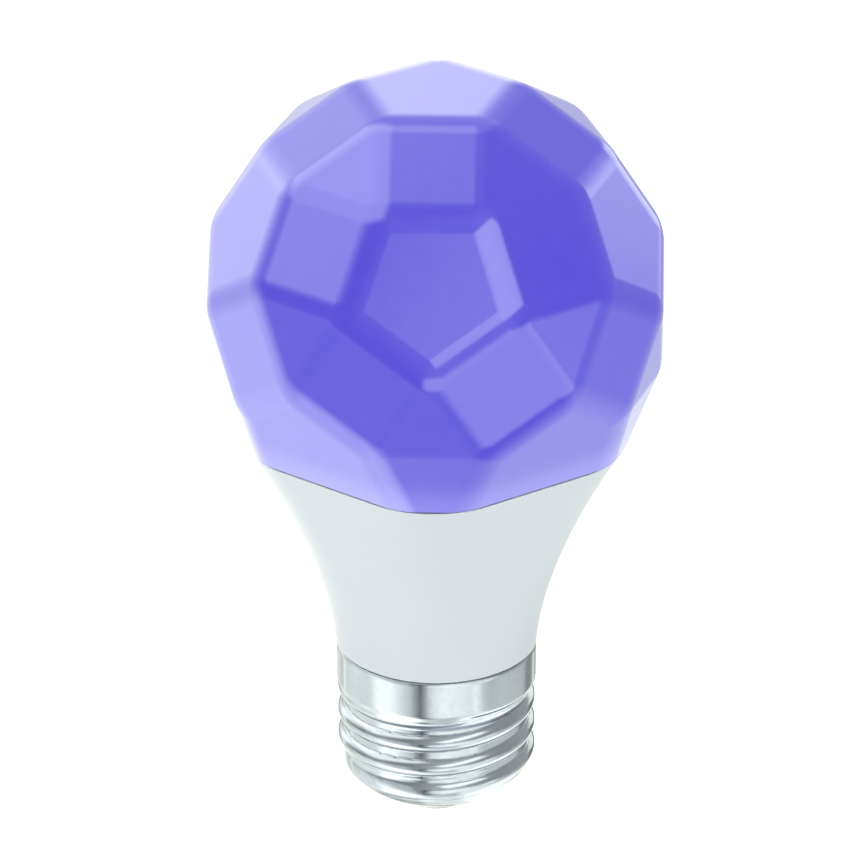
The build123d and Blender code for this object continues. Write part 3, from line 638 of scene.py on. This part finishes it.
def nickel():
    """Satin nickel plate: faint lines round the cap from rolling, small handling marks."""
    material, n, surface, place = start_material("Nickel_Plate")
    parts = n.add("ShaderNodeSeparateXYZ", {"Vector": place})
    angle = n.math("ARCTAN2", parts.outputs["Y"], parts.outputs["X"])
    along = n.math("MULTIPLY", angle, 0.0012)
    round_cap = n.add("ShaderNodeCombineXYZ", {"X": along, "Z": parts.outputs["Z"]}).outputs[0]
    lines = n.noise(round_cap, 6000.0, 3.0)
    cloud = n.noise(place, 160.0, 3.0)
    marks = n.noise(place, 1500.0, 5.0, 0.7)
    colour = n.mix(n.remap(cloud, 0.3, 0.7, 0.0, 1.0), rgba((0.365, 0.39, 0.455)), rgba((0.41, 0.435, 0.50)))
    colour = n.mix(n.remap(marks, 0.5, 0.75, 0.0, 0.5), colour, rgba((0.28, 0.30, 0.35)))
    relief = n.relief(lines, 0.06, 0.00003)
    wire(
        n, surface, Base_Color=colour, Metallic=0.72, Normal=relief,
        Roughness=n.math("ADD", n.remap(cloud, 0.3, 0.7, 0.13, 0.18), n.remap(marks, 0.5, 0.8, 0.0, 0.10)),
    )
    return material


def phosphor(name, dark, light, glow):
    """LED lens filling: grains of phosphor in silicone, faintly lit."""
    material, n, surface, place = start_material(name)
    cells = n.add("ShaderNodeTexVoronoi", {"Vector": place, "Scale": 9000.0}).outputs["Distance"]
    cloud = n.noise(place, 900.0)
    colour = n.mix(n.remap(cells, 0.1, 0.6, 0.0, 1.0), rgba(light), rgba(dark))
    wire(
        n, surface, Base_Color=colour, Emission_Color=colour, Emission_Strength=glow,
        Roughness=n.remap(cloud, 0.3, 0.7, 0.15, 0.3), Coat_Weight=0.5,
    )
    return material


def circuit_board(name, mask, track, cell):
    """Solder mask over copper tracks: blocky lighter runs, and a woven glass grain."""
    material, n, surface, place = start_material(name)
    upright = n.add("ShaderNodeMapping", {"Vector": place, "Rotation": (math.pi / 2, 0, 0)}).outputs[0]
    blocks = {
        "Vector": upright, "Color1": rgba(mask), "Color2": rgba(track), "Mortar": rgba(mask),
        "Scale": 1 / (cell * MM), "Mortar Size": 0.05, "Brick Width": 1.7, "Row Height": 0.42,
    }
    tracks = n.add("ShaderNodeTexBrick", blocks).outputs["Color"]
    weave = n.noise(place, 4200.0, 2.0)
    relief = n.relief(weave, 0.1, 0.00003)
    colour = n.mix(n.remap(weave, 0.3, 0.7, 0.0, 0.15), tracks, rgba(track))
    wire(
        n, surface, Base_Color=colour, Roughness=n.remap(weave, 0.3, 0.7, 0.3, 0.45), Normal=relief,
        Coat_Weight=0.3,
    )
    return material


def paint(node, material):
    """Gives a CAD node its material."""
    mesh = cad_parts[node].data
    mesh.materials.clear()
    mesh.materials.append(material)


def paint_inside():
    """Finishes of the CAD nodes that are shown as they are."""
    finishes = {
        # Grey silicone bead; its dark tone is partly painted shade for the shadow gap at the seam.
        "diffuser_adhesive": textured(
            "Grey_Silicone_Seam_Shade", (0.26, 0.26, 0.36), (0.34, 0.34, 0.44), 0.3, 0.6, bump=0.2,
        ),
        "heat_sink_cup": textured(
            "Spun_Aluminium", (0.70, 0.71, 0.72), (0.84, 0.85, 0.86), 0.25, 0.3, 1.0, 0.15, (1, 1, 12),
        ),
        "driver_sleeve": textured("Sleeve_Plastic", (0.74, 0.74, 0.71), (0.84, 0.84, 0.81), 0.4, 0.5),
        "thermal_pad": textured(
            "Pad_Silicone", (0.40, 0.46, 0.55), (0.52, 0.57, 0.64), 0.25, 0.75, bump=0.3,
        ),
        "led_board": textured(
            "White_Solder_Mask", (0.86, 0.86, 0.83), (0.95, 0.95, 0.93), 0.35, 0.35, coat=0.3, spots=0.3,
        ),
        "warm_white_leds": textured("LED_Package", (0.86, 0.85, 0.78), (0.93, 0.92, 0.87), 0.15, 0.5),
        "warm_white_lenses": phosphor("Warm_Phosphor", (0.75, 0.38, 0.05), (0.98, 0.72, 0.22), 0.15),
        "cool_white_lenses": phosphor("Cool_Phosphor", (0.80, 0.66, 0.12), (0.97, 0.88, 0.40), 0.15),
        "colour_lenses": phosphor("Clear_Silicone", (0.20, 0.16, 0.70), (0.55, 0.50, 0.95), 1.5),
        "led_board_screws": textured(
            "Zinc_Steel", (0.52, 0.53, 0.54), (0.72, 0.72, 0.70), 0.12, 0.28, 1.0, 0.1, (1, 1, 8),
        ),
        "board_socket": textured("Ivory_Connector", (0.80, 0.78, 0.70), (0.90, 0.89, 0.82), 0.3, 0.45),
        "header_pins": textured(
            "Gold_Pins", (0.78, 0.58, 0.25), (0.93, 0.76, 0.42), 0.1, 0.2, 1.0, 0.05, (8, 8, 1),
        ),
        "driver_board": circuit_board("Green_Board", (0.03, 0.16, 0.06), (0.06, 0.27, 0.11), 2.4),
        "input_capacitor": textured(
            "Can_Sleeve", (0.02, 0.02, 0.03), (0.07, 0.07, 0.10), 0.5, 0.25, coat=0.4,
        ),
        "fusible_resistor": textured(
            "Resistor_Lacquer", (0.22, 0.42, 0.32), (0.38, 0.58, 0.47), 0.2, 0.55, bump=0.2,
        ),
        "varistor": textured(
            "Varistor_Epoxy", (0.05, 0.16, 0.48), (0.12, 0.27, 0.62), 0.25, 0.45, bump=0.3,
        ),
        "filter_inductor_core": textured(
            "Ferrite", (0.03, 0.03, 0.035), (0.09, 0.09, 0.10), 0.15, 0.7, bump=0.3,
        ),
        "filter_inductor_winding": banded(
            "Copper_Winding", (0.28, 0.09, 0.03), (0.80, 0.38, 0.16), 0.35, "Y", 0.3, 1.0,
        ),
        "transformer_winding": banded(
            "Yellow_Tape", (0.62, 0.44, 0.05), (0.90, 0.72, 0.18), 2.2, "Z", 0.35, bump=0.15,
        ),
        "driver_chip": textured(
            "Chip_Epoxy", (0.015, 0.015, 0.018), (0.05, 0.05, 0.055), 0.12, 0.6, bump=0.2,
        ),
        "radio_board": circuit_board("Radio_Laminate", (0.01, 0.02, 0.06), (0.03, 0.06, 0.14), 1.1),
        "radio_shield": textured(
            "Tinned_Steel", (0.62, 0.62, 0.60), (0.78, 0.78, 0.76), 0.2, 0.3, 1.0, 0.08, (8, 1, 1),
        ),
        "antenna_trace": textured("Printed_Copper", (0.62, 0.34, 0.14), (0.84, 0.55, 0.28), 0.1, 0.3, 1.0),
        "live_lead": textured("Red_Insulation", (0.42, 0.02, 0.02), (0.62, 0.06, 0.05), 0.2, 0.45),
        "neutral_lead": textured("White_Insulation", (0.78, 0.78, 0.75), (0.90, 0.90, 0.88), 0.2, 0.45),
        "cap_insulator": textured(
            "Cap_Insulation", (0.60, 0.65, 0.69), (0.68, 0.72, 0.76), 0.4, 0.3, coat=0.3,
        ),
        "centre_contact": textured(
            "Contact_Nickel", (0.34, 0.36, 0.37), (0.44, 0.46, 0.47), 0.2, 0.3, 0.8, 0.15,
        ),
    }
    shared = {
        "cool_white_leds": "warm_white_leds", "colour_leds": "warm_white_leds", "header_base": "board_socket",
        "output_capacitor": "input_capacitor", "transformer_core": "filter_inductor_core",
        "bridge_rectifier": "driver_chip", "output_diode": "driver_chip", "radio_chip": "driver_chip",
    }
    for node, material in finishes.items():
        paint(node, material)
    for node, other in shared.items():
        paint(node, finishes[other])


# ---------------------------------------------------------------- studio

# Soft lights that show in reflections, by the direction they come from: azimuth, elevation,
# half width, half height, roll and edge softness in degrees, then brightness.
SOFTBOXES = (
    (-95, 55, 31, 30, -18, 9, 2.1),
    (-88, -42, 36, 30, -41, 16, 2.2),
    (29, 32, 27, 11.5, 27, 3.5, 2.2),
    (29, -21, 39, 14, 8, 6, 1.6),
    (144, 2, 11, 14, 46, 3.5, 1.85),
    (-178, 13, 6, 22, 0, 11, 2.2),
    (135, -59, 56, 23, -12, 24, 1.1),
    (-26, -68, 31, 8, -60, 20, 1.95),
    (17, 21, 24, 50, -16, 25, 0.6),
    (-162, 52, 33, 29, -32, 8, 0.6),
    (-133, 7, 12, 26, -49, 25, 3.0),
    (-166, -38, 20, 14, 0, 10, 1.1),
    (-8, -45, 15, 9, 0, 8, 0.35),
    (68, -10, 10, 10, 0, 7, 0.35),
)
FRONT_AMBIENT = 0.42
BACK_AMBIENT = 0.83
AMBIENT_FALLOFF = 1.6
LIGHT_TINT = (0.95, 0.985, 0.86)
# Lamps for the matt shading: azimuth, elevation and spread in degrees, then strength.
SOFT_LAMPS = (
    (-75, 15, 70, 1.55),
    (75, 15, 70, 1.45),
    (0, -38, 70, 2.25),
    (180, 10, 90, 2.9),
    (20, 80, 70, 1.2),
)
LAMP_TINT = (0.94, 1.01, 1.06)
# Lamps that show in the screw cap alone: azimuth, elevation, half width and half height in degrees,
# then brightness. Below zero it takes light away, as a black flag does.
CAP_LAMPS = (
    (-48, -26, 20, 34, 0.6),
    (-102, -38, 22, 44, -0.7),
    (-13, -26, 5, 20, -0.75),
    (22, -26, 16, 30, 0.3),
    (150, -26, 22, 34, -0.5),
    (0, -78, 50, 35, 0.35),
    (100, -56, 48, 18, 0.85),
    (-156, -22, 20, 44, -0.7),
)
CAP_LAMP_DISTANCE = 0.6
# Watts per square metre of lamp at a brightness of 1.
CAP_LAMP_POWER = 4.0
BACKDROP_WHITE = 1.05


def softbox_group():
    """World node group: how brightly one soft light shines from a direction."""
    group = bpy.data.node_groups.new("Softbox", "ShaderNodeTree")
    for name, kind in (
        ("Direction", "NodeSocketVector"), ("Facing", "NodeSocketVector"), ("Across", "NodeSocketVector"),
        ("Upward", "NodeSocketVector"), ("Half Width", "NodeSocketFloat"), ("Half Height", "NodeSocketFloat"),
        ("Softness", "NodeSocketFloat"), ("Brightness", "NodeSocketFloat"),
    ):
        group.interface.new_socket(name, in_out="INPUT", socket_type=kind)
    group.interface.new_socket("Light", in_out="OUTPUT", socket_type="NodeSocketFloat")
    n = Nodes(group)
    given = n.add("NodeGroupInput").outputs

    def along(axis):
        inputs = {0: given["Direction"], 1: given[axis]}
        return n.add("ShaderNodeVectorMath", inputs, operation="DOT_PRODUCT").outputs["Value"]

    ahead = n.math("MAXIMUM", along("Facing"), 0.001)
    light = given["Brightness"]
    for axis, half in (("Across", "Half Width"), ("Upward", "Half Height")):
        away = n.math("ABSOLUTE", n.math("ARCTAN2", along(axis), ahead))
        inner = n.math("SUBTRACT", given[half], given["Softness"])
        outer = n.math("ADD", given[half], given["Softness"])
        light = n.math("MULTIPLY", light, n.remap(away, inner, outer, 1.0, 0.0, smooth=True))
    light = n.math("MULTIPLY", light, n.math("GREATER_THAN", along("Facing"), 0.0))
    n.add("NodeGroupOutput", {"Light": light})
    return group


def make_world():
    """A white studio: the soft lights for reflections, plain white for the camera."""
    world = bpy.data.worlds.new("Studio")
    bpy.context.scene.world = world
    world.use_nodes = True
    world.node_tree.nodes.clear()
    n = Nodes(world.node_tree)
    look = n.add("ShaderNodeTexCoord").outputs["Generated"]
    depth = n.remap(n.add("ShaderNodeSeparateXYZ", {"Vector": look}).outputs["Y"], -1.0, 1.0, 0.0, 1.0)
    falloff = n.math("POWER", depth, AMBIENT_FALLOFF)
    light = n.math("MULTIPLY_ADD", falloff, BACK_AMBIENT - FRONT_AMBIENT, FRONT_AMBIENT)
    group = softbox_group()
    for azimuth, elevation, half_width, half_height, roll, softness, brightness in SOFTBOXES:
        facing = direction(azimuth, elevation)
        level = direction(azimuth + 90, 0)
        steep = np.cross(level, facing) * -1
        steep = steep if steep[2] > 0 else -steep
        turn = math.radians(roll)
        box = n.add("ShaderNodeGroup", node_tree=group)
        box.inputs["Facing"].default_value = facing
        box.inputs["Across"].default_value = level * math.cos(turn) + steep * math.sin(turn)
        box.inputs["Upward"].default_value = steep * math.cos(turn) - level * math.sin(turn)
        box.inputs["Half Width"].default_value = math.radians(half_width)
        box.inputs["Half Height"].default_value = math.radians(half_height)
        box.inputs["Softness"].default_value = math.radians(softness)
        box.inputs["Brightness"].default_value = brightness
        n.tree.links.new(look, box.inputs["Direction"])
        light = n.math("ADD", light, box.outputs["Light"])
    seen = n.add("ShaderNodeLightPath").outputs["Is Camera Ray"]
    colour = n.mix(seen, rgba(LIGHT_TINT), rgba((1, 1, 1)))
    reflected = n.math("MULTIPLY", n.math("SUBTRACT", 1.0, seen), light)
    strength = n.math("MULTIPLY_ADD", seen, BACKDROP_WHITE, reflected)
    background = n.add("ShaderNodeBackground", {"Color": colour, "Strength": strength})
    n.add("ShaderNodeOutputWorld", {"Surface": background.outputs[0]})
    world.cycles_visibility.diffuse = False


def place_lamp(lamp, towards, distance):
    """Hangs the lamp that way from the cap's collar, shining back at it."""
    holder = bpy.data.objects.new(lamp.name, lamp)
    holder.location = Vector((0, 0, COLLAR_BOTTOM * MM)) + towards * distance
    holder.rotation_mode = "QUATERNION"
    holder.rotation_quaternion = towards.to_track_quat("Z", "Y")
    bpy.context.scene.collection.objects.link(holder)
    return holder


def make_soft_lamps():
    """Broad soft lamps for the matt shading alone: their directions, spread and strength."""
    for number, (azimuth, elevation, spread, strength) in enumerate(SOFT_LAMPS):
        lamp = bpy.data.lights.new(f"Soft_Lamp_{number}", "SUN")
        lamp.angle = math.radians(spread)
        lamp.energy = strength
        lamp.color = LAMP_TINT
        holder = place_lamp(lamp, Vector(direction(azimuth, elevation)), 0.0)
        holder.visible_glossy = False


def make_cap_lamps(screw_cap):
    """Flat lamps linked to the screw cap, which show in its plating."""
    receivers = bpy.data.collections.new("Cap_Only")
    receivers.objects.link(screw_cap)
    for number, (azimuth, elevation, half_width, half_height, brightness) in enumerate(CAP_LAMPS):
        lamp = bpy.data.lights.new(f"Cap_Lamp_{number}", "AREA")
        lamp.shape = "RECTANGLE"
        lamp.size = 2 * CAP_LAMP_DISTANCE * math.tan(math.radians(half_width))
        lamp.size_y = 2 * CAP_LAMP_DISTANCE * math.tan(math.radians(half_height))
        lamp.energy = CAP_LAMP_POWER * brightness * lamp.size * lamp.size_y
        lamp.color = LIGHT_TINT
        holder = place_lamp(lamp, Vector(direction(azimuth, elevation)), CAP_LAMP_DISTANCE)
        holder.visible_camera = holder.visible_diffuse = False
        holder.light_linking.receiver_collection = receivers


def make_floor():
    """A pale light table under the bulb, so bright that it shows no shadow."""
    bm = bmesh.new()
    bmesh.ops.create_grid(bm, x_segments=24, y_segments=24, size=3.0)
    mesh = bpy.data.meshes.new("Light_Table")
    bm.to_mesh(mesh)
    bm.free()
    floor = bpy.data.objects.new("Light_Table", mesh)
    bpy.context.scene.collection.objects.link(floor)
    material, n, surface, place = start_material("Light_Table_White")
    cloud = n.noise(place, 3.0)
    wire(
        n, surface, Base_Color=rgba((0.6, 0.6, 0.6)), Roughness=0.6, Emission_Color=rgba((1, 1, 1)),
        Emission_Strength=n.remap(cloud, 0.3, 0.7, 1.0, 1.06),
    )
    mesh.materials.append(material)
    floor.visible_diffuse = floor.visible_glossy = floor.visible_transmission = floor.visible_shadow = False


CAMERA_AZIMUTH = 1.54
CAMERA_ELEVATION = 26.4
CAMERA_TARGET = (0, 0, 0.05388)
CAMERA_DISTANCE = 0.901


def make_camera():
    """Long lens, a little above the bulb, at the photograph's angle."""
    data = bpy.data.cameras.new("Camera")
    camera = bpy.data.objects.new("Camera", data)
    bpy.context.scene.collection.objects.link(camera)
    back = Vector(direction(CAMERA_AZIMUTH, CAMERA_ELEVATION))
    camera.location = Vector(CAMERA_TARGET) + back * CAMERA_DISTANCE
    camera.rotation_mode = "QUATERNION"
    camera.rotation_quaternion = (-back).to_track_quat("-Z", "Y")
    data.sensor_width = 36.0
    data.lens = 286.05
    data.shift_x = -0.0027
    data.clip_start, data.clip_end = 0.01, 20.0
    bpy.context.scene.camera = camera


make_camera()
make_world()
make_soft_lamps()
make_floor()
diffuser = make_diffuser()
housing = make_housing()
screw_cap = make_screw_cap()
make_cap_lamps(screw_cap)
diffuser.data.materials.append(lit_diffuser())
# The rim's dark grey-violet is painted shade that stands for the shadow gap along the seam.
diffuser.data.materials.append(textured("Seam_Shadow_Rim", (0.28, 0.27, 0.40), (0.36, 0.35, 0.48), 0.3, 0.6))
housing.data.materials.append(housing_plastic())
screw_cap.data.materials.append(nickel())
paint_inside()
bpy.context.scene.view_settings.view_transform = "Standard"
